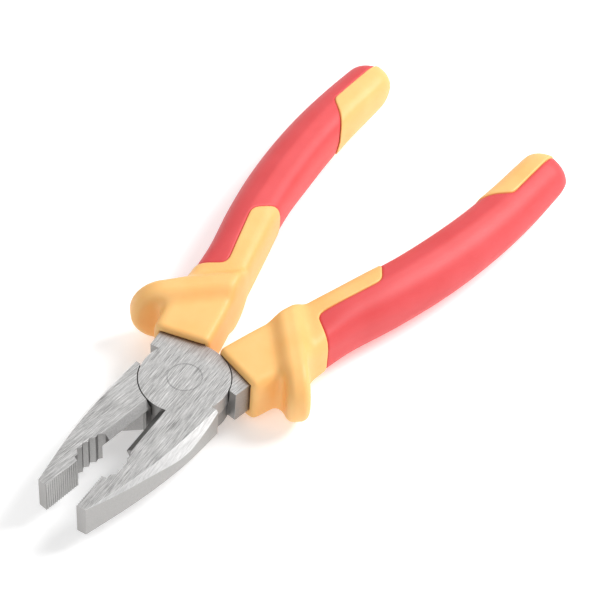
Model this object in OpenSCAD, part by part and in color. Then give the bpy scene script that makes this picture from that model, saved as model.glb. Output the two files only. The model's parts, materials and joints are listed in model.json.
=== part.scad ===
// Insulated lineman (combination) pliers, lying flat.
// Origin: on the pivot axis, in the plane of the head's back face.
// +X runs from the pivot towards the jaw tips, +Z is the pivot axis.
// Each half is drawn closed, with its jaw edge on the centre line, and is
// then turned about the pivot by half of the resting opening.

/* [Head] */
// Thickness of the ground head
head_t = 11; // [9:0.5:13]
// Distance from the pivot to the jaw tips
jaw_len = 54; // [50:1:58]
// Width of one jaw at its tip
tip_w = 3; // [2.5:0.1:4]
// Diameter of the round lap joint
disc_d = 26.5; // [25:0.5:27.5]
// Total opening between the jaws as the tool lies at rest, in degrees
rest_opening = 11.3; // [0:0.1:30]

/* [Jaw work faces] */
// Number of fine serrations on the flat tip face
serration_count = 15; // [8:1:20]
// Depth of one fine serration
serration_depth = 0.3; // [0.1:0.05:0.4]
// Number of coarse teeth in the pipe grip
pipe_teeth = 5; // [4:1:6]
// Height of one coarse tooth
pipe_tooth_h = 0.9; // [0.6:0.1:1.4]
// Depth of the pipe grip hollow at its middle
pipe_depth = 3.6; // [2.5:0.1:4]
// Depth of the cutting edge below the top face
cutter_drop = 2; // [1.5:0.1:3]

/* [Pivot] */
// Diameter of the rivet's shank
rivet_d = 8; // [7:0.5:9]
// Diameter of the rivet's flush countersunk ends
rivet_head_d = 10; // [9.5:0.25:11]
// Radial running clearance of the rivet in the lower lap
running_gap = 0.05; // [0.02:0.01:0.08]

/* [Handles] */
// Distance from the pivot to the far end of the grips
handle_len = 151; // [145:1:156]
// Thickness of the red outer layer
shell_t = 1.5; // [1:0.1:2]
// Thickness of the steel tang inside the grip
tang_t = 7; // [5:0.5:8]

/* [Hidden] */

$fn = 96;
mid_z = head_t / 2;
disc_r = disc_d / 2;
lap_gap = 0.04;                 // axial gap between the two laps
disc_gap = 0.3;                 // radial gap round each disc
face_gap = 0.05;                // each work face's distance from the centre line
big = 60;                       // larger than any section of the head

// Stations along one jaw, measured from the pivot
serration_end = 42.1;           // where the fine serrations stop
pipe_front = 41.7;              // first valley of the pipe grip
pipe_end = 29.9;                // where the pipe grip meets the cutter
pipe_mid = 36;                  // deepest point of its arch
pipe_half = 7;                  // half of the arch's span
shoulder_x = 5.2;               // rear end of the jaw, and front of the neck
cutter_top_w = 2.1;             // cutter bevel's width on the top face
cutter_low_w = 5.3;             // its relief's width on the back face
// Plan of the relief behind the cutting edge, closed at both ends
relief_plan = [[31.5, -1], [31.5, 1.2], [27, 6], [21, 6], [15.5, 1.2], [15.5, -1]];

// Guide points of one jaw's outer side at full width, from tip to shoulder
jaw_side = [[jaw_len, tip_w], [44, 7.15], [34, 10.6], [22, 14.3], [12, 14.75],
            [shoulder_x, 14.5]];
// Guide points of the ground facet's top edge, and the facet's slope
facet_edge = [[52, 3.6], [40, 7.5], [30, 10.1], [20, 11.9], [shoulder_x, 13.9]];
facet_tilt = 55;

// Centre line of the handle, from the collar's front face to the far end
grip_path = [[-11.9, -8.3], [-60, -17], [-95, -27], [-handle_len, -18.6]];
// Half width, half height and squareness of its section, by distance along X
grip_half_w = [[10, 7.7], [22, 8], [45, 8.3], [66, 8.3], [100, 8], [135, 7.6],
               [handle_len, 7]];
grip_half_h = [[10, 7.7], [32, 8.1], [45, 9.3], [66, 9.8], [100, 9], [135, 7.8],
               [handle_len, 7]];
grip_square = [[10, 6], [30, 5], [48, 2.8], [handle_len, 2.4]];
grip_sides = 20;
grip_slices = 20;
collar_front = 11.9;            // where the collar starts on the centre line
cover_front = 25;               // hidden front end of the inner core
dome_len = 9;                   // length of the rounded far end

// Hand guard: an upright plate that crosses the handle at a slant
guard_in = [-36.8, -6.3];       // its end beside the other handle
guard_out = [-15.6, -31.2];     // its outermost point
guard_t = 6;
guard_half_h = 11.3;
guard_corner_r = 9;

// Plan outline of the red layer
cover_outline = [[-29, -45], [-33, -24], [-40, -16.5], [-43.5, -12.6], [-65, -17.5],
                 [-70, -12.5], [-70, 5], [-109, 5], [-110, -12], [-116, -15.5],
                 [-122.5, -21.5], [-170, -16.9], [-170, -45]];

// Steel tang: stations along X with its half width there
tang_x = [12, 24, 45, 70, 95, 118, 132];
tang_half_w = [[12, 5.6], [45, 4.4], [132, 3.2]];

function mix(a, b, t) = a * (1 - t) + b * t;
function bezier(p, t) =
    p[0] * pow(1 - t, 3) + 3 * p[1] * t * pow(1 - t, 2)
    + 3 * p[2] * t * t * (1 - t) + p[3] * pow(t, 3);
function slope(p, t) =
    3 * (p[1] - p[0]) * pow(1 - t, 2) + 6 * (p[2] - p[1]) * t * (1 - t)
    + 3 * (p[3] - p[2]) * t * t;
// Path parameter at which the handle's centre line reaches a given X
function path_t(x, lo = 0, hi = 1, n = 24) =
    n == 0 ? (lo + hi) / 2
    : bezier(grip_path, (lo + hi) / 2)[0] > -x
        ? path_t(x, (lo + hi) / 2, hi, n - 1)
        : path_t(x, lo, (lo + hi) / 2, n - 1);
// Line of points with its corners cut, its ends kept
function soften(p) =
    concat([p[0]],
           [for (i = [0:len(p) - 2], t = [0.25, 0.75]) mix(p[i], p[i + 1], t)],
           [p[len(p) - 1]]);
// One coordinate of a superellipse of the given squareness
function bulge(v, square) = sign(v) * pow(abs(v), 2 / square);

// ---- steel halves, closed ------------------------------------------------

// Fine serrations along the tip's work face, from the tip inwards
function serrations() =
    let (pitch = (jaw_len - serration_end) / serration_count)
    [for (i = [0:serration_count - 1], half = [0, 1])
        [jaw_len - (i + half / 2) * pitch, face_gap + half * serration_depth]];

// Depth of the pipe grip's arch at a distance from the pivot
function arch_depth(x) = pipe_depth * (1 - pow(abs(x - pipe_mid) / pipe_half, 3));

// Coarse teeth in the arch: valleys, with a peak between each two
function pipe_grip() =
    let (pitch = (pipe_front - pipe_end + 0.7) / pipe_teeth)
    [for (i = [0:2 * pipe_teeth - 2])
        let (x = pipe_front - i * pitch / 2)
        [x, arch_depth(x) - (i % 2) * pipe_tooth_h]];

module jaw_outline() {
    side = soften(soften(jaw_side));
    polygon(concat(
        serrations(),
        [[serration_end, face_gap]],
        pipe_grip(),
        [[pipe_end, 1.6], [pipe_end - 0.1, face_gap], [shoulder_x, face_gap]],
        [for (i = [len(side) - 1:-1:0]) side[i]]));
}

// Prism along X under or over the cutting edge, its side leaning back by width
// over a height that is positive upwards
module edge_cut(width, height) {
    over = 1;
    reach = height + sign(height) * over;
    translate([-1, 0, head_t - cutter_drop]) rotate([90, 0, 90])
        linear_extrude(pipe_end + 3)
            polygon([[-over, 0], [face_gap, 0],
                     [face_gap + width * reach / height, reach], [-over, reach]]);
}

// Bevel above the cutting edge and relief below it
module cutter_bevels() {
    edge_cut(cutter_top_w, cutter_drop);
    intersection() {
        edge_cut(cutter_low_w, cutter_drop - head_t);
        translate([0, 0, -1]) linear_extrude(head_t) polygon(relief_plan);
    }
}

// Facet ground along the outer edge, on one face of the jaw
module ground_facet() {
    edge = soften(facet_edge);
    for (i = [0:len(edge) - 2]) {
        run = edge[i + 1] - edge[i];
        translate([edge[i][0], edge[i][1], head_t])
            rotate([0, 0, atan2(run[1], run[0]) - 180])
                rotate([-facet_tilt, 0, 0])
                    translate([-big, -big, 0]) cube([2 * big, 2 * big, big]);
    }
}

module jaw() {
    difference() {
        linear_extrude(head_t) jaw_outline();
        cutter_bevels();
        ground_facet();
        translate([0, 0, head_t]) mirror([0, 0, 1]) ground_facet();
    }
}

// Centre of the tang at one station, and its two side points
function tang_point(x, side) =
    let (t = path_t(x), d = slope(grip_path, t), n = [-d[1], d[0]] / norm(d))
    bezier(grip_path, t) + side * lookup(x, tang_half_w) * n;

module tang() {
    points = concat([for (x = tang_x) tang_point(x, 1)],
                    [for (i = [len(tang_x) - 1:-1:0]) tang_point(tang_x[i], -1)]);
    translate([0, 0, mid_z - tang_t / 2]) linear_extrude(tang_t) polygon(points);
}

// Full-thickness block between the disc and the collar
module neck() {
    linear_extrude(head_t)
        polygon([[-shoulder_x, -11], [-shoulder_x, -15], [-15, -15.4], [-16.6, -2.6],
                 [-13.1, -1.8], [-10, -1.4]]);
}

// One lap: the disc from its mating face to the outer face
module lap_disc(low, high, gap) {
    translate([0, 0, low]) cylinder(r = disc_r + gap, h = high - low, $fn = 128);
}

module half_forging(upper) {
    lap_low = upper ? mid_z + lap_gap / 2 : 0;
    lap_high = upper ? head_t : mid_z - lap_gap / 2;
    cut_low = upper ? -1 : mid_z - lap_gap / 2;
    cut_high = upper ? mid_z + lap_gap / 2 : head_t + 1;
    difference() {
        union() {
            difference() {
                union() {
                    jaw();
                    neck();
                    tang();
                }
                lap_disc(cut_low, cut_high, disc_gap);
            }
            lap_disc(lap_low, lap_high, 0);
        }
        rivet_body(upper ? 0 : running_gap);
    }
}

// ---- rivet ---------------------------------------------------------------

// Shank with flush countersunk ends, grown by gap all round
module rivet_body(gap) {
    sink = (rivet_head_d - rivet_d) / 2;
    over = gap > 0 ? gap : 0;
    r = rivet_d / 2 + gap;
    translate([0, 0, -over]) cylinder(r = r, h = head_t + 2 * over);
    translate([0, 0, head_t - sink]) cylinder(r1 = r, r2 = r + sink, h = sink);
    cylinder(r1 = r + sink, r2 = r, h = sink);
}

// ---- handles, closed -----------------------------------------------------

// Ring of section points at path parameter t, shrunk by inset
function grip_ring(t, inset) =
    let (p = bezier(grip_path, t), d = slope(grip_path, t), n = [-d[1], d[0]] / norm(d),
         x = -p[0],
         left = max(0, handle_len - inset - x),
         dome = left >= dome_len ? 1 : sqrt(1 - pow(1 - left / dome_len, 2)),
         w = (lookup(x, grip_half_w) - inset) * dome,
         h = (lookup(x, grip_half_h) - inset) * dome,
         square = lookup(x, grip_square))
    [for (k = [0:grip_sides - 1])
        let (a = 360 * (k + 0.5) / grip_sides,
             across = w * bulge(cos(a), square))
        [p[0] + n[0] * across, p[1] + n[1] * across, mid_z + h * bulge(sin(a), square)]];

// Handle form from a distance from the pivot to its far end, as a row of
// slices, each the hull of two neighbouring rings
module grip_loft(x_from, inset) {
    t0 = path_t(x_from);
    t1 = path_t(handle_len - inset - 0.3);
    rings = [for (i = [0:grip_slices]) let (u = i / grip_slices)
                grip_ring(mix(t0, t1, 1 - pow(1 - u, 1.5)), inset)];
    for (i = [0:grip_slices - 1])
        hull() polyhedron(concat(rings[i], rings[i + 1]),
                          [[for (k = [0:2 * grip_sides - 1]) k]]);
}

// Slanted hand guard: a plate with fully rounded edges and large outer corners
module guard_plate() {
    run = guard_out - guard_in;
    reach = norm(run);
    r = guard_t / 2;
    turn = guard_corner_r - r;
    translate([guard_in[0], guard_in[1], mid_z])
        rotate([0, 0, atan2(run[1], run[0])]) rotate([90, 0, 0])
            hull()
                for (side = [-1, 1]) {
                    translate([r, side * (guard_half_h - r), 0]) sphere(r, $fn = 16);
                    translate([reach - guard_corner_r, side * (guard_half_h - guard_corner_r), 0])
                        rotate_extrude($fn = 32) translate([turn, 0]) circle(r, $fn = 16);
                }
}

module cover_prism() {
    translate([0, 0, -big / 2]) linear_extrude(big) polygon(cover_outline);
}

// Yellow moulding: guard, inner strip and tail inlay over a full-length core
module guard_sleeve() {
    difference() {
        union() {
            difference() {
                grip_loft(collar_front, 0);
                cover_prism();
            }
            grip_loft(cover_front, shell_t);
            guard_plate();
        }
        tang();
        neck();
        lap_disc(-big / 2, big / 2, disc_gap);
    }
}

// Red second layer
module grip_cover() {
    difference() {
        intersection() {
            grip_loft(cover_front, 0);
            cover_prism();
        }
        grip_loft(cover_front, shell_t);
        guard_plate();
    }
}

// ---- placement -----------------------------------------------------------

// The half with its jaw on +Y is the upper-lap one; its mirror is the other
module at_rest(upper) {
    rotate([0, 0, (upper ? 1 : -1) * rest_opening / 2])
        mirror([0, upper ? 0 : 1, 0]) children();
}

module upper_lap_half() { color("silver") at_rest(true) half_forging(true); }
module lower_lap_half() { color("lightgray") at_rest(false) half_forging(false); }
module pivot_rivet() { color("gainsboro") rivet_body(0); }
module left_guard_sleeve() { color("sandybrown") at_rest(true) guard_sleeve(); }
module left_grip_cover() { color("indianred") at_rest(true) grip_cover(); }
module right_guard_sleeve() { color("sandybrown") at_rest(false) guard_sleeve(); }
module right_grip_cover() { color("indianred") at_rest(false) grip_cover(); }

upper_lap_half();
lower_lap_half();
pivot_rivet();
left_guard_sleeve();
left_grip_cover();
right_guard_sleeve();
right_grip_cover();
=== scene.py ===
"""Looks for the insulated lineman pliers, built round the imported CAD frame.

Lengths in the handle's field functions are millimetres, in the closed frame of
one half: its jaw on +X and +Y, its handle on -X and -Y. The other half is the
mirror image across the centre line. Blender objects are in metres.
"""

import json
import math

import bmesh
import bpy
import numpy as np
from mathutils import Matrix, Vector


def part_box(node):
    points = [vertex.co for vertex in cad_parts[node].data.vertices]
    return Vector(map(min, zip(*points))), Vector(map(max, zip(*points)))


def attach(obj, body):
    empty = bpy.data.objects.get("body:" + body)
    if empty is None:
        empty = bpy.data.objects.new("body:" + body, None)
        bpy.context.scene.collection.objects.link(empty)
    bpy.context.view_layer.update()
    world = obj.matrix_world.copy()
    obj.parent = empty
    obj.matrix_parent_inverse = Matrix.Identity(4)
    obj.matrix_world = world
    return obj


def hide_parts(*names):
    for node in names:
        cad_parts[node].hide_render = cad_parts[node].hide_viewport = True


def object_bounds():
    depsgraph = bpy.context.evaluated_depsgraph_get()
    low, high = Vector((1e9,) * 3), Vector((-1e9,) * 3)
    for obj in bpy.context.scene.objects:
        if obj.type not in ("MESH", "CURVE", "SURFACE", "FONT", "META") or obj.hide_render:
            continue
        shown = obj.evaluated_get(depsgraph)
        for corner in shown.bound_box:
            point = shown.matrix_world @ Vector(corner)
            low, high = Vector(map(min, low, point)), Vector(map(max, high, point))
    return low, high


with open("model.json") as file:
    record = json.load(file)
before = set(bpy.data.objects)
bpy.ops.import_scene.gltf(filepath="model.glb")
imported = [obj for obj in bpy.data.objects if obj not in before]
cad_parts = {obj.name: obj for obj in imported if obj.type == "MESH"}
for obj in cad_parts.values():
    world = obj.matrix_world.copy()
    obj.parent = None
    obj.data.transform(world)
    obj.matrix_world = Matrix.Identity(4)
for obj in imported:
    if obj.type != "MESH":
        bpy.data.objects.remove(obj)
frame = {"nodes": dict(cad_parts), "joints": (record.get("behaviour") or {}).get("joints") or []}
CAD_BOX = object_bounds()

MM = 0.001
PIVOT_JOINT = frame["joints"][0]

# ---- driving dimensions -------------------------------------------------------

# Half of the opening at rest: the hinge closes the jaws at its lower limit.
HALF_OPEN = math.radians(-PIVOT_JOINT["range_deg"][0] / 2)
HEAD_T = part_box("upper_lap_half")[1].z / MM
MID_Z = HEAD_T / 2

# Centre line of the handle, a cubic curve from the collar's front to the end
PATH = np.array([[-11.9, -8.3], [-60, -17], [-95, -27], [-151, -18.6]])
# Section sizes by distance from the pivot: reach of the inner and outer sides,
# height above the middle plane, extra depth below it, slope of the top's two
# halves beside their ridge, blend between top and sides, and what the inner
# side's blend gains below
INNER_W = [[8, 8.4], [24, 9.0], [40, 8.9], [60, 8.8], [75, 8.2], [105, 8.1], [120, 8.1],
           [135, 8.1], [151, 7.4]]
OUTER_W = [[8, 9.0], [16, 9.7], [24, 9.8], [36, 8.3], [50, 7.4], [66, 8.5], [80, 9.2],
           [95, 9.3], [110, 9.2], [138, 8.4], [151, 8.6]]
HALF_H = [[8, 7.7], [38, 7.8], [49, 9.3], [66, 9.8], [100, 9.2], [135, 8.1], [151, 7.2]]
DEEPER = [[8, 1.5], [30, 1.5], [48, 0.3], [70, 0.3], [90, 0.6], [125, 0.7], [151, 0.5]]
RIDGE = [[8, 0.0], [36, 0.0], [52, 0.2], [75, 0.3], [105, 0.3], [135, 0.2], [151, 0.15]]
INNER_ROUND = [[8, 3.0], [30, 3.6], [48, 4.6], [151, 5.2]]
OUTER_ROUND = [[8, 3.4], [30, 4.2], [48, 6.4], [110, 7.0], [151, 8.0]]
UNDER_ROUND = [[8, 2.2], [30, 2.2], [50, 1.0], [70, 3.2], [82, 3.0], [95, 0.8], [110, 0.8],
               [124, 2.0], [151, 2.0]]
BLEND_LENGTH = 7.0      # over which the kinks of the tables above are softened
RIDGE_SOFT = 0.5
SHARE_SPAN = 4.0        # over which one side's value gives way to the other's
FRONT_ROUND = 1.8
END_ROUND = 8.6
END_REACH = -1.5
PATH_OVERRUN = 0.08     # share of the centre line that is followed past each end

GUARD_IN = np.array([-36.5, -6.0])
GUARD_OUT = np.array([-16.5, -29.5])
GUARD_HALF_T = 3.4
GUARD_EDGE = 2.5
GUARD_HALF_H = 10.4
GUARD_CORNER = 10.2
GUARD_FILLET = 3.8
GUARD_REAR_FILLET = 4.0
GUARD_INSET = 1.2       # from the handle's inner side to the guard's root
GUARD_ROOT_BLEND = 2.4
GUARD_RUN_BACK = 20.0   # of the slab past GUARD_IN, hidden in the handle
FLUSH_PLAY = 0.15       # how far the inner side may swell beside the guard
FLUSH_BLEND = 2.0

# Plan outline of the red layer: x, y and the length of each corner's rounding
COVER = [(-35.5, -45, 0), (-36, -25, 3), (-40.2, -16.5, 6), (-42.6, -12.3, 3.5),
         (-65.4, -17.7, 2.4), (-71.6, -12.5, 2), (-71.6, 5, 0), (-110.5, 5, 0), (-111, -13, 2),
         (-117.5, -15.8, 5), (-123, -22, 1.6), (-170, -17.3, 0), (-170, -45, 0)]
LAYER_T = 1.5
LAYER_OVERLAP = 0.02
LAYER_BLEND = 0.2
RED_STEP = 0.3
SEAM_GAP = 0.05
SEAM_ROUND = 0.6
INLAY_SLANT = 0.35      # how far the tail inlay's front end leans, per millimetre of depth
SLANT_FROM = 88.0
SLANT_SPAN = 10.0

# Plan of the forging's neck inside the sleeve, and the room left round it
NECK_SLOT = np.array([[-3, -9], [-3, -15.2], [-15, -15.6], [-16.8, -2.4], [-13.1, -1.6],
                      [-8, -1.2]])
NECK_PLAY = 0.2
NECK_BLEND = 0.3

GRID_STEP = 0.4
SKIN_REACH = 3.5        # distance from the outer form within which the seam matters
FAR = 9.0
CHUNK = 400000          # points worked on at a time
RELAX_SHARE = 0.5
GRADIENT_STEP = 0.02
LEAST_SLOPE_SQUARED = 0.05


# ---- field functions ----------------------------------------------------------


def smooth_max(a, b, k):
    h = np.maximum(k - np.abs(a - b), 0) / k
    return np.maximum(a, b) + h * h * k / 4


def smooth_min(a, b, k):
    return -smooth_max(-a, -b, k)


def share(value):
    """Rises from 0 to 1 as value passes zero, over SHARE_SPAN."""
    return np.clip(value / SHARE_SPAN + 0.5, 0, 1)


def smooth_table(rows):
    """A function that runs through rows of (distance, value) with its kinks softened."""
    spacing = 0.5
    x = np.arange(-30.0, 190.0, spacing)
    width = int(BLEND_LENGTH / spacing) | 1
    y = np.interp(x, *np.array(rows, float).T)
    for _ in range(2):
        padded = np.pad(y, width // 2, mode="edge")
        y = np.convolve(padded, np.ones(width) / width, mode="valid")
    return lambda at: np.interp(at, x, y)


inner_w_at = smooth_table(INNER_W)
outer_w_at = smooth_table(OUTER_W)
half_h_at = smooth_table(HALF_H)
deeper_at = smooth_table(DEEPER)
ridge_at = smooth_table(RIDGE)
inner_round_at = smooth_table(INNER_ROUND)
outer_round_at = smooth_table(OUTER_ROUND)
under_round_at = smooth_table(UNDER_ROUND)


def path_point(t):
    """Point on the handle's centre line and its derivative, for an array of t."""
    t = t[..., None]
    s = 1 - t
    point = (PATH[0] * s**3 + 3 * PATH[1] * t * s**2 + 3 * PATH[2] * t**2 * s + PATH[3] * t**3)
    deriv = (3 * (PATH[1] - PATH[0]) * s**2 + 6 * (PATH[2] - PATH[1]) * t * s
             + 3 * (PATH[3] - PATH[2]) * t**2)
    return point, deriv


def path_frame(xy):
    """Distance from the pivot along X, and sideways offset towards the other handle."""
    t_samples = np.linspace(-PATH_OVERRUN, 1 + PATH_OVERRUN, 400)
    x_samples = path_point(t_samples)[0][:, 0]
    t = np.interp(-xy[:, 0], -x_samples, t_samples)
    for _ in range(3):
        point, deriv = path_point(t)
        step = ((xy - point) * deriv).sum(1) / (deriv**2).sum(1)
        t = np.clip(t + step, -PATH_OVERRUN, 1 + PATH_OVERRUN)
    point, deriv = path_point(t)
    inward = np.stack([deriv[:, 1], -deriv[:, 0]], 1) / np.linalg.norm(deriv, axis=1)[:, None]
    return -point[:, 0], ((xy - point) * inward).sum(1)


def end_planes(xy):
    """Distance in front of the collar's face, and distance past the far end."""
    ends, derivs = path_point(np.array([0.0, 1.0]))
    units = derivs / np.linalg.norm(derivs, axis=1)[:, None]
    return -((xy - ends[0]) @ units[0]), (xy - ends[1]) @ units[1]


def guard_field(xy, v):
    """The guard's signed distance, and how far each point is behind its middle plane."""
    run = GUARD_OUT - GUARD_IN
    reach = np.linalg.norm(run)
    along_dir = run / reach
    across_dir = np.array([-along_dir[1], along_dir[0]])
    along = (xy - GUARD_IN) @ along_dir
    across = (xy - GUARD_IN) @ across_dir
    half_len = (reach + GUARD_RUN_BACK) / 2
    qx = np.abs(along - (reach - half_len)) - (half_len - GUARD_CORNER)
    qz = np.abs(v) - (GUARD_HALF_H - GUARD_CORNER)
    outline = (np.hypot(np.maximum(qx, 0), np.maximum(qz, 0))
               + np.minimum(np.maximum(qx, qz), 0) - GUARD_CORNER)
    past_rim = outline + GUARD_EDGE
    past_face = np.abs(across) - (GUARD_HALF_T - GUARD_EDGE)
    slab = (np.hypot(np.maximum(past_rim, 0), np.maximum(past_face, 0))
            + np.minimum(np.maximum(past_rim, past_face), 0) - GUARD_EDGE)
    return slab, -across


def handle_field(p):
    """Signed distance to the moulded handle's outer form, guard included."""
    xy, v = p[:, :2], p[:, 2] - MID_Z
    x, u = path_frame(xy)
    slope, inner = ridge_at(x), inner_w_at(x)
    soft_u = np.sqrt(u * u + RIDGE_SOFT**2) - RIDGE_SOFT
    depth = half_h_at(x) + np.where(v < 0, deeper_at(x), 0.0)
    roof = (np.abs(v) - depth + slope * soft_u) / np.sqrt(1 + slope**2)
    sides = np.maximum(u - inner, -u - outer_w_at(x))
    inner_share = share(u)
    inner_round = inner_round_at(x) + np.where(v < 0, under_round_at(x), 0.0)
    corner = outer_round_at(x) * (1 - inner_share) + inner_round * inner_share
    body = smooth_max(roof, sides, corner)
    front, past = end_planes(xy)
    body = smooth_max(body, past - END_REACH, END_ROUND)
    guard, behind = guard_field(xy, v)
    fillet = GUARD_FILLET + (GUARD_REAR_FILLET - GUARD_FILLET) * share(behind)
    guard = smooth_max(guard, u - (inner - GUARD_INSET), GUARD_ROOT_BLEND)
    body = smooth_min(body, guard, fillet)
    body = smooth_max(body, u - (inner + FLUSH_PLAY), FLUSH_BLEND)
    return smooth_max(body, front, FRONT_ROUND)


def rounded_outline(corners, steps=6):
    """The polygon of (x, y, rounding) corners, each rounded by a short curve."""
    out = []
    count = len(corners)
    for i, (x, y, rounding) in enumerate(corners):
        here = np.array([x, y], float)
        if rounding == 0:
            out.append(here)
            continue
        ends = []
        for other in (corners[i - 1], corners[(i + 1) % count]):
            arm = np.array(other[:2], float) - here
            length = np.linalg.norm(arm)
            ends.append(here + arm / length * min(rounding, length * 0.48))
        for s in np.linspace(0, 1, steps):
            out.append(ends[0] * (1 - s) ** 2 + 2 * here * s * (1 - s) + ends[1] * s * s)
    return np.array(out)


def polygon_field(xy, outline):
    """Signed distance in plan to a polygon, negative inside."""
    best = np.full(len(xy), 1e9)
    inside = np.zeros(len(xy), bool)
    for a, b in zip(outline, np.roll(outline, -1, axis=0)):
        edge = b - a
        rel = xy - a
        t = np.clip((rel @ edge) / (edge @ edge), 0, 1)
        best = np.minimum(best, ((rel - t[:, None] * edge) ** 2).sum(1))
        crosses = (a[1] > xy[:, 1]) != (b[1] > xy[:, 1])
        with np.errstate(divide="ignore", invalid="ignore"):
            at_x = a[0] + (xy[:, 1] - a[1]) * edge[0] / edge[1]
        inside ^= crosses & (xy[:, 0] < at_x)
    return np.sqrt(best) * np.where(inside, -1, 1)


COVER_OUTLINE = rounded_outline(COVER)


def cover_field(p):
    """Signed distance in plan to the red layer's region; the tail inlay's front end slants."""
    xy = p[:, :2].copy()
    rear = np.clip((-xy[:, 0] - SLANT_FROM) / SLANT_SPAN, 0, 1)
    xy[:, 0] -= rear * INLAY_SLANT * np.maximum(MID_Z - p[:, 2], 0)
    return polygon_field(xy, COVER_OUTLINE)


def sleeve_field(p, form, cover):
    """The yellow moulding: full size where it shows, sunk by LAYER_T under the red."""
    shown = smooth_max(form, -cover, SEAM_ROUND)
    core = form + LAYER_T
    above_neck = np.abs(p[:, 2] - MID_Z) - MID_Z - NECK_PLAY
    slot = np.maximum(polygon_field(p[:, :2], NECK_SLOT), above_neck)
    return smooth_max(np.minimum(shown, core), -slot, NECK_BLEND)


def grip_cover_field(p, form, cover):
    """The red layer on the yellow core, its skin a little below the yellow's."""
    skin = smooth_max(form + RED_STEP, cover + SEAM_GAP, SEAM_ROUND)
    return smooth_max(skin, -(form + LAYER_T - LAYER_OVERLAP), LAYER_BLEND)


# ---- meshing a field ----------------------------------------------------------


def field_mesh(field, low, high, step):
    """Quad mesh of the zero surface of field inside a box, by surface nets."""
    axes = [np.arange(a, b + step, step) for a, b in zip(low, high)]
    shape = tuple(len(a) for a in axes)
    nodes = np.stack(np.meshgrid(*axes, indexing="ij"), -1).reshape(-1, 3)
    values = field(nodes).reshape(shape)
    inside = values < 0
    cell_shape = tuple(n - 1 for n in shape)
    total = np.zeros(cell_shape + (3,))
    count = np.zeros(cell_shape)
    quads = []
    cell_id = np.arange(np.prod(cell_shape)).reshape(cell_shape)
    for axis in range(3):
        near = [slice(None)] * 3
        far = [slice(None)] * 3
        near[axis], far[axis] = slice(None, -1), slice(1, None)
        hit = np.argwhere(inside[tuple(near)] != inside[tuple(far)])
        a = values[tuple(near)][tuple(hit.T)]
        b = values[tuple(far)][tuple(hit.T)]
        point = hit.astype(float)
        point[:, axis] += a / (a - b)
        others = [i for i in range(3) if i != axis]
        inner = np.all([(hit[:, o] > 0) & (hit[:, o] < cell_shape[o]) for o in others], axis=0)
        hit, point, flip = hit[inner], point[inner], (a < 0)[inner]
        corners = []
        for da, db in ((1, 1), (0, 1), (0, 0), (1, 0)):
            cell = hit.copy()
            cell[:, others[0]] -= da
            cell[:, others[1]] -= db
            np.add.at(total, tuple(cell.T), point)
            np.add.at(count, tuple(cell.T), 1)
            corners.append(cell_id[tuple(cell.T)])
        face = np.stack(corners, 1)
        turn = flip if axis != 1 else ~flip
        face[~turn] = face[~turn][:, ::-1]
        quads.append(face)
    used = np.flatnonzero(count.reshape(-1))
    points = total.reshape(-1, 3)[used] / count.reshape(-1)[used][:, None] * step + np.array(low)
    index = np.full(count.size, -1)
    index[used] = np.arange(len(used))
    return points, index[np.concatenate(quads)]


def pull_to_surface(points, field, limit):
    """Newton steps along the field's gradient, each no longer than limit."""
    h = GRADIENT_STEP
    for _ in range(2):
        value = field(points)
        grad = np.stack([(field(points + h * e) - value) / h for e in np.eye(3)], 1)
        slope_squared = np.maximum((grad**2).sum(1), LEAST_SLOPE_SQUARED)
        step = value[:, None] * grad / slope_squared[:, None]
        size = np.linalg.norm(step, axis=1)[:, None]
        points = points - step * np.minimum(1, limit / np.maximum(size, 1e-9))
    return points


def relax(points, quads):
    """Moves each point RELAX_SHARE of the way to the middle of its neighbours."""
    total = np.zeros_like(points)
    count = np.zeros(len(points))
    for i in range(4):
        a, b = quads[:, i], quads[:, (i + 1) % 4]
        np.add.at(total, a, points[b])
        np.add.at(total, b, points[a])
        np.add.at(count, a, 1)
        np.add.at(count, b, 1)
    return points + RELAX_SHARE * (total / count[:, None] - points)


def moulded_mesh(part_field, low, high):
    """Meshes one moulding of the handle, closed frame, millimetres."""

    def field(p):
        out = np.empty(len(p))
        for start in range(0, len(p), CHUNK):
            part = p[start:start + CHUNK]
            form = handle_field(part)
            cover = np.full(len(part), FAR)
            near = np.abs(form) < SKIN_REACH
            cover[near] = cover_field(part[near])
            out[start:start + CHUNK] = part_field(part, form, cover)
        return out

    points, quads = field_mesh(field, low, high, GRID_STEP)
    for _ in range(2):
        points = relax(points, quads)
        points = pull_to_surface(points, field, GRID_STEP)
    return points, quads


def to_rest(points, upper):
    """Points from one half's closed frame, in millimetres, to their place at rest, in metres."""
    side = 1 if upper else -1
    turn = side * HALF_OPEN
    x, y = points[:, 0], points[:, 1] * side
    return np.stack([x * math.cos(turn) - y * math.sin(turn),
                     x * math.sin(turn) + y * math.cos(turn), points[:, 2]], 1) * MM


def add_mesh(name, points, faces):
    mesh = bpy.data.meshes.new(name)
    mesh.from_pydata(points.tolist(), [], faces.tolist())
    mesh.update()
    mesh.shade_smooth()
    obj = bpy.data.objects.new(name, mesh)
    bpy.context.scene.collection.objects.link(obj)
    return obj


# ---- materials ----------------------------------------------------------------

RIVET_R = 5.0


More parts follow.
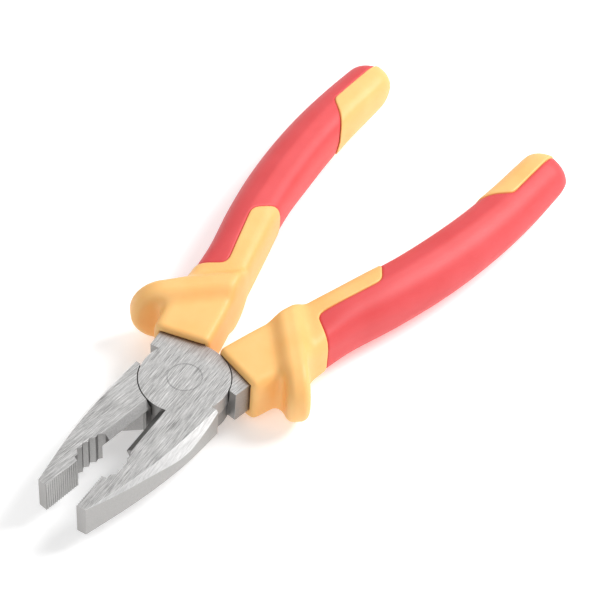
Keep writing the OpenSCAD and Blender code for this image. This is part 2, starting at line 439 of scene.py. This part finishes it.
class Shader:
    """Short helpers for one node material."""

    def __init__(self, name, **values):
        self.material = bpy.data.materials.new(name)
        self.material.use_nodes = True
        self.tree = self.material.node_tree
        self.bsdf = self.tree.nodes["Principled BSDF"]
        for key, value in values.items():
            self.bsdf.inputs[key.replace("_", " ")].default_value = value

    def node(self, kind, **settings):
        made = self.tree.nodes.new(kind)
        for key, value in settings.items():
            setattr(made, key, value)
        return made

    def link(self, source, target):
        self.tree.links.new(source, target)

    def coordinates(self, turn=0.0, scale=(1, 1, 1)):
        """Object coordinates in millimetres, turned about Z and then scaled."""
        coord = self.node("ShaderNodeTexCoord")
        turned = self.node("ShaderNodeMapping")
        turned.inputs["Rotation"].default_value = (0, 0, turn)
        turned.inputs["Scale"].default_value = (1 / MM,) * 3
        self.link(coord.outputs["Object"], turned.inputs["Vector"])
        scaled = self.node("ShaderNodeMapping")
        scaled.inputs["Scale"].default_value = scale
        self.link(turned.outputs["Vector"], scaled.inputs["Vector"])
        return scaled.outputs["Vector"]

    def noise(self, vector, scale, detail=3.0, roughness=0.5):
        made = self.node("ShaderNodeTexNoise")
        made.inputs["Scale"].default_value = scale
        made.inputs["Detail"].default_value = detail
        made.inputs["Roughness"].default_value = roughness
        self.link(vector, made.inputs["Vector"])
        return made.outputs["Fac"]

    def ramp(self, value, low, high, colour_low, colour_high):
        made = self.node("ShaderNodeValToRGB")
        made.color_ramp.elements[0].position = low
        made.color_ramp.elements[0].color = (*colour_low, 1)
        made.color_ramp.elements[1].position = high
        made.color_ramp.elements[1].color = (*colour_high, 1)
        self.link(value, made.inputs["Fac"])
        return made.outputs["Color"]

    def remap(self, value, low, high, out_low, out_high):
        made = self.node("ShaderNodeMapRange")
        for key, number in (("From Min", low), ("From Max", high),
                            ("To Min", out_low), ("To Max", out_high)):
            made.inputs[key].default_value = number
        self.link(value, made.inputs["Value"])
        return made.outputs["Result"]

    def math(self, operation, a, b):
        made = self.node("ShaderNodeMath", operation=operation)
        for socket, value in zip(made.inputs, (a, b)):
            if isinstance(value, (int, float)):
                socket.default_value = value
            else:
                self.link(value, socket)
        return made.outputs["Value"]

    def mix(self, factor, a, b, blend="MIX"):
        made = self.node("ShaderNodeMix", data_type="RGBA", blend_type=blend)
        for socket, value in ((made.inputs[0], factor), (made.inputs[6], a), (made.inputs[7], b)):
            if isinstance(value, (int, float)):
                socket.default_value = value
            elif isinstance(value, tuple):
                socket.default_value = (*value, 1)
            else:
                self.link(value, socket)
        return made.outputs[2]

    def bump(self, height, strength, distance):
        made = self.node("ShaderNodeBump")
        made.inputs["Strength"].default_value = strength
        made.inputs["Distance"].default_value = distance
        self.link(height, made.inputs["Height"])
        self.link(made.outputs["Normal"], self.bsdf.inputs["Normal"])


def add_rivet_rim_shade(s, ground, patch):
    """The ground colour, with painted shade along the rivet's rim, uneven along it."""
    from_pivot = s.node("ShaderNodeVectorMath", operation="LENGTH")
    s.link(s.coordinates(scale=(1, 1, 0)), from_pivot.inputs[0])
    off_rim = s.math("ABSOLUTE", s.math("SUBTRACT", from_pivot.outputs["Value"], RIVET_R), 0.0)
    line = s.remap(off_rim, 0.1, 0.3, 0.45, 0.0)
    rim = s.math("MULTIPLY", line, s.remap(patch, 0.3, 0.6, 0.5, 1.0))
    return s.mix(rim, ground, (0.1, 0.1, 0.1))


def facing_in_closed_frame(s, turn):
    """The surface normal's parts in the half's closed frame."""
    turned = s.node("ShaderNodeMapping")
    turned.inputs["Rotation"].default_value = (0, 0, turn)
    s.link(s.node("ShaderNodeTexCoord").outputs["Normal"], turned.inputs["Vector"])
    facing = s.node("ShaderNodeSeparateXYZ")
    s.link(turned.outputs["Vector"], facing.inputs[0])
    return facing.outputs


def ground_steel(name, turn, side):
    """Forged steel, ground along the half, sides matt; facets with a painted highlight, faces
    turned to the other half in painted shade, teeth slopes painted lighter or darker by their
    facing.

    side is 1 for the half whose jaw is on +Y and -1 for the other.
    """
    s = Shader(name, Metallic=1.0)
    streak = s.noise(s.coordinates(turn, (0.15, 3.6, 1.0)), 1.0, 6.0, 0.75)
    patch = s.noise(s.coordinates(turn, (0.12, 0.5, 0.5)), 1.0, 2.0)
    grain = s.noise(s.coordinates(turn), 4.0, 3.0, 0.6)
    ground = s.ramp(streak, 0.36, 0.64, (0.13, 0.128, 0.126), (0.76, 0.75, 0.74))
    ground = s.mix(0.25, ground, s.ramp(patch, 0.3, 0.7, (0.36, 0.355, 0.35), (0.66, 0.66, 0.66)))
    place = s.node("ShaderNodeSeparateXYZ")
    s.link(s.coordinates(turn), place.inputs[0])
    near_collar = s.remap(place.outputs["X"], -7.5, -12.5, 0.0, 0.55)
    ground = s.mix(near_collar, ground, (0.36, 0.27, 0.235))
    # Painted shade in the narrow groove round the rivet's rim.
    ground = add_rivet_rim_shade(s, ground, patch)
    facing = facing_in_closed_frame(s, turn)
    matt = s.ramp(grain, 0.3, 0.7, (0.38, 0.373, 0.366), (0.45, 0.44, 0.43))
    # Painted shade: the faces turned towards the other half get this darker colour.
    work_painted_shading = s.ramp(grain, 0.3, 0.7, (0.3, 0.295, 0.29), (0.4, 0.395, 0.39))
    # Painted highlight on the tilted facets: a lighter colour, with the grinding streaks through
    # it.
    painted_facet_highlight = s.ramp(streak, 0.3, 0.7, (0.62, 0.615, 0.61), (0.95, 0.945, 0.94))
    inward = s.math("MULTIPLY", facing["Y"], -side)
    upright = s.math("ABSOLUTE", facing["Z"], 0.0)
    flat = s.remap(upright, 0.3, 0.5, 0.0, 1.0)
    # Painted highlight: faces tilted from level take the lighter facet colour.
    ground = s.mix(s.remap(upright, 0.88, 0.97, 0.9, 0.0), ground, painted_facet_highlight)
    colour = s.mix(flat, matt, ground)
    # Painted light and shade on the teeth: slopes facing the tip lighter, slopes facing the pivot
    # darker.
    flank_painted_shading = s.remap(facing["X"], -0.6, 0.6, 0.35, 1.5)
    work_painted_shading = s.mix(1.0, work_painted_shading, flank_painted_shading, "MULTIPLY")
    # Painted shade laid on the faces turned towards the other half.
    colour = s.mix(s.remap(inward, 0.2, 0.5, 0.0, 1.0), colour, work_painted_shading)
    s.link(colour, s.bsdf.inputs["Base Color"])
    s.link(s.remap(streak, 0.3, 0.7, 0.48, 0.34), s.bsdf.inputs["Roughness"])
    s.bump(s.math("ADD", streak, s.math("MULTIPLY", grain, 0.3)), 0.5, 0.0001)
    return s.material


def moulded_plastic(name, deep, light, sheen_low, sheen_high):
    """Satin moulding with a fine grain and faint unevenness of colour."""
    s = Shader(name, Specular_IOR_Level=0.5, Subsurface_Weight=0.12, Subsurface_Scale=0.004)
    cloud = s.noise(s.coordinates(), 0.09, 3.0)
    grain = s.noise(s.coordinates(), 3.2, 2.0)
    s.link(s.ramp(cloud, 0.3, 0.7, deep, light), s.bsdf.inputs["Base Color"])
    s.link(s.remap(grain, 0.3, 0.7, sheen_low, sheen_high), s.bsdf.inputs["Roughness"])
    s.bump(s.math("ADD", grain, s.math("MULTIPLY", cloud, 1.5)), 0.12, 0.00012)
    return s.material


YELLOW = moulded_plastic("yellow_plastic", (0.98, 0.51, 0.155), (1.0, 0.57, 0.2), 0.42, 0.52)
RED = moulded_plastic("red_plastic", (0.72, 0.062, 0.067), (0.76, 0.075, 0.082), 0.46, 0.56)


# ---- pieces -------------------------------------------------------------------

# Box round one handle's mouldings, closed frame
LOW = (-153.0, -36.0, -8.0)
HIGH = (-7.0, 2.0, 19.0)

# Width of an ordinary arris, and the share of it on the teeth and round the rivet
ARRIS = 0.22 * MM
TOOTH_WEIGHT = 0.2
RIM_WEIGHT = 0.45
TEETH_FROM = 30.2
TEETH_WITHIN = 3.7
RIM_WITHIN = 6.0
RIVET_RIM = 0.16 * MM
MERGE_WITHIN = 1e-6
FLAT_BELOW = math.radians(0.6)
SHARP_FROM = math.radians(20)
BEVEL_FROM = math.radians(24)
RIVET_BEVEL_FROM = math.radians(30)

SIDES = {True: ("left", "left_handle_half"), False: ("right", "right_handle_half")}


def add_mouldings():
    """Both handles' mouldings: each is meshed once and mirrored for the other handle."""
    for part_field, part, material, slot in (
            (sleeve_field, "guard_sleeve", YELLOW, "yellow_plastic"),
            (grip_cover_field, "grip_cover", RED, "red_plastic")):
        points, quads = moulded_mesh(part_field, LOW, HIGH)
        for upper, (side, body) in SIDES.items():
            faces = quads if upper else quads[:, ::-1]
            piece = add_mesh(f"{side}_{part}_moulding", to_rest(points, upper), faces)
            piece.data.materials.append(material)
            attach(piece, body)
            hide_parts(f"{side}_{part}")


def add_forging(node, body, upper):
    """A copy of the CAD half with its arrises softened, less so on teeth and at the rivet."""
    mesh = frame["nodes"][node].data.copy()
    mesh.name = node + "_finished"
    mesh.materials.clear()
    piece = bpy.data.objects.new(node + "_finished", mesh)
    bpy.context.scene.collection.objects.link(piece)
    bm = bmesh.new()
    bm.from_mesh(mesh)
    bmesh.ops.remove_doubles(bm, verts=bm.verts, dist=MERGE_WITHIN)
    bmesh.ops.dissolve_limit(bm, angle_limit=FLAT_BELOW, verts=bm.verts, edges=bm.edges)
    turn = (1 if upper else -1) * HALF_OPEN
    into_closed = Matrix.Rotation(-turn, 3, "Z")
    weights = bm.edges.layers.float.new("bevel_weight_edge")
    for edge in bm.edges:
        if len(edge.link_faces) != 2 or edge.calc_face_angle(0) < BEVEL_FROM:
            continue
        x, y, _ = into_closed @ (edge.verts[0].co + edge.verts[1].co) / 2 / MM
        on_teeth = x > TEETH_FROM and abs(y) < TEETH_WITHIN
        at_rivet = math.hypot(x, y) < RIM_WITHIN
        edge[weights] = RIM_WEIGHT if at_rivet else TOOTH_WEIGHT if on_teeth else 1.0
    bm.to_mesh(mesh)
    bm.free()
    mesh.shade_smooth()
    mesh.set_sharp_from_angle(angle=SHARP_FROM)
    bevel = piece.modifiers.new("arrises", "BEVEL")
    bevel.limit_method = "WEIGHT"
    bevel.width = ARRIS
    bevel.segments = 2
    bevel.profile = 0.6
    bevel.use_clamp_overlap = True
    bevel.harden_normals = True
    flatten = piece.modifiers.new("flat_faces", "WEIGHTED_NORMAL")
    flatten.keep_sharp = True
    flatten.weight = 100
    mesh.materials.append(ground_steel(node + "_steel", -turn, 1 if upper else -1))
    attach(piece, body)
    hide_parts(node)


def finish_rivet():
    """The CAD rivet, its rims eased so that they show, ground with the upper lap."""
    rivet = frame["nodes"]["pivot_rivet"]
    rivet.data.materials.clear()
    rivet.data.materials.append(ground_steel("rivet_steel", -HALF_OPEN, 1))
    bevel = rivet.modifiers.new("rims", "BEVEL")
    bevel.width = RIVET_RIM
    bevel.segments = 2
    bevel.angle_limit = RIVET_BEVEL_FROM
    bevel.harden_normals = True


add_mouldings()
add_forging("upper_lap_half", "left_handle_half", True)
add_forging("lower_lap_half", "right_handle_half", False)
finish_rivet()

# ---- camera, light and floor --------------------------------------------------

# The point on the tool's mid plane that the camera looks at, and from where
AIM = Vector((-48.8, 5.2, 5.5)) * MM
CAMERA_DISTANCE = 639.4 * MM
CAMERA_ELEVATION = math.radians(47.31)
CAMERA_BEARING = math.radians(33.01)    # of the camera, seen from the aim, from +X towards +Y
CAMERA_ROLL = math.radians(4.34)
CAMERA_LENS = 129.0

FLOOR_SIZE = 6
FLOOR_GAP = 0.2 * MM
FLOOR_GLOW = 0.3
SKY_STRENGTH = 0.45


def add_camera():
    data = bpy.data.cameras.new("camera")
    data.lens = CAMERA_LENS
    data.clip_start = 0.01
    camera = bpy.data.objects.new("camera", data)
    bpy.context.scene.collection.objects.link(camera)
    back = Vector((math.cos(CAMERA_BEARING) * math.cos(CAMERA_ELEVATION),
                   math.sin(CAMERA_BEARING) * math.cos(CAMERA_ELEVATION),
                   math.sin(CAMERA_ELEVATION)))
    level = back.to_track_quat("Z", "Y").to_matrix().to_4x4()
    camera.matrix_world = (Matrix.Translation(AIM + back * CAMERA_DISTANCE) @ level
                           @ Matrix.Rotation(CAMERA_ROLL, 4, "Z"))
    bpy.context.scene.camera = camera


def add_area(name, place, target, size, power):
    data = bpy.data.lights.new(name, "AREA")
    data.shape = "DISK"
    data.size = size
    data.energy = power
    light = bpy.data.objects.new(name, data)
    light.location = place
    light.rotation_euler = (Vector(target) - Vector(place)).to_track_quat("-Z", "Y").to_euler()
    bpy.context.scene.collection.objects.link(light)


def add_floor():
    lowest = CAD_BOX[0].z
    bpy.ops.mesh.primitive_plane_add(size=FLOOR_SIZE, location=(0, 0, lowest - FLOOR_GAP))
    floor = bpy.context.object
    floor.name = "floor"
    s = Shader("floor_paper", Roughness=0.9, Specular_IOR_Level=0.1)
    tone = s.noise(s.coordinates(), 0.01, 2.0)
    s.link(s.ramp(tone, 0.3, 0.7, (0.9, 0.9, 0.9), (0.92, 0.92, 0.92)), s.bsdf.inputs["Base Color"])
    s.bsdf.inputs["Emission Color"].default_value = (1, 1, 1, 1)
    s.bsdf.inputs["Emission Strength"].default_value = FLOOR_GLOW
    floor.data.materials.append(s.material)


def add_world():
    world = bpy.data.worlds.new("studio")
    world.use_nodes = True
    background = world.node_tree.nodes["Background"]
    background.inputs["Color"].default_value = (1, 1, 1, 1)
    background.inputs["Strength"].default_value = SKY_STRENGTH
    bpy.context.scene.world = world


add_camera()
add_floor()
add_world()
add_area("key", (-0.8, 0.55, 0.95), (-0.05, 0, 0), 0.6, 13)
add_area("overhead", (-0.7, -0.45, 0.9), (-0.02, 0, 0), 0.9, 2.4)
add_area("fill", (0.7, 0.2, 0.9), (-0.05, 0, 0), 0.8, 2.2)
add_area("facet", (-0.6, 0.9, 0.16), (0, 0, 0), 0.3, 0.7)
bpy.context.scene.view_settings.view_transform = "Standard"
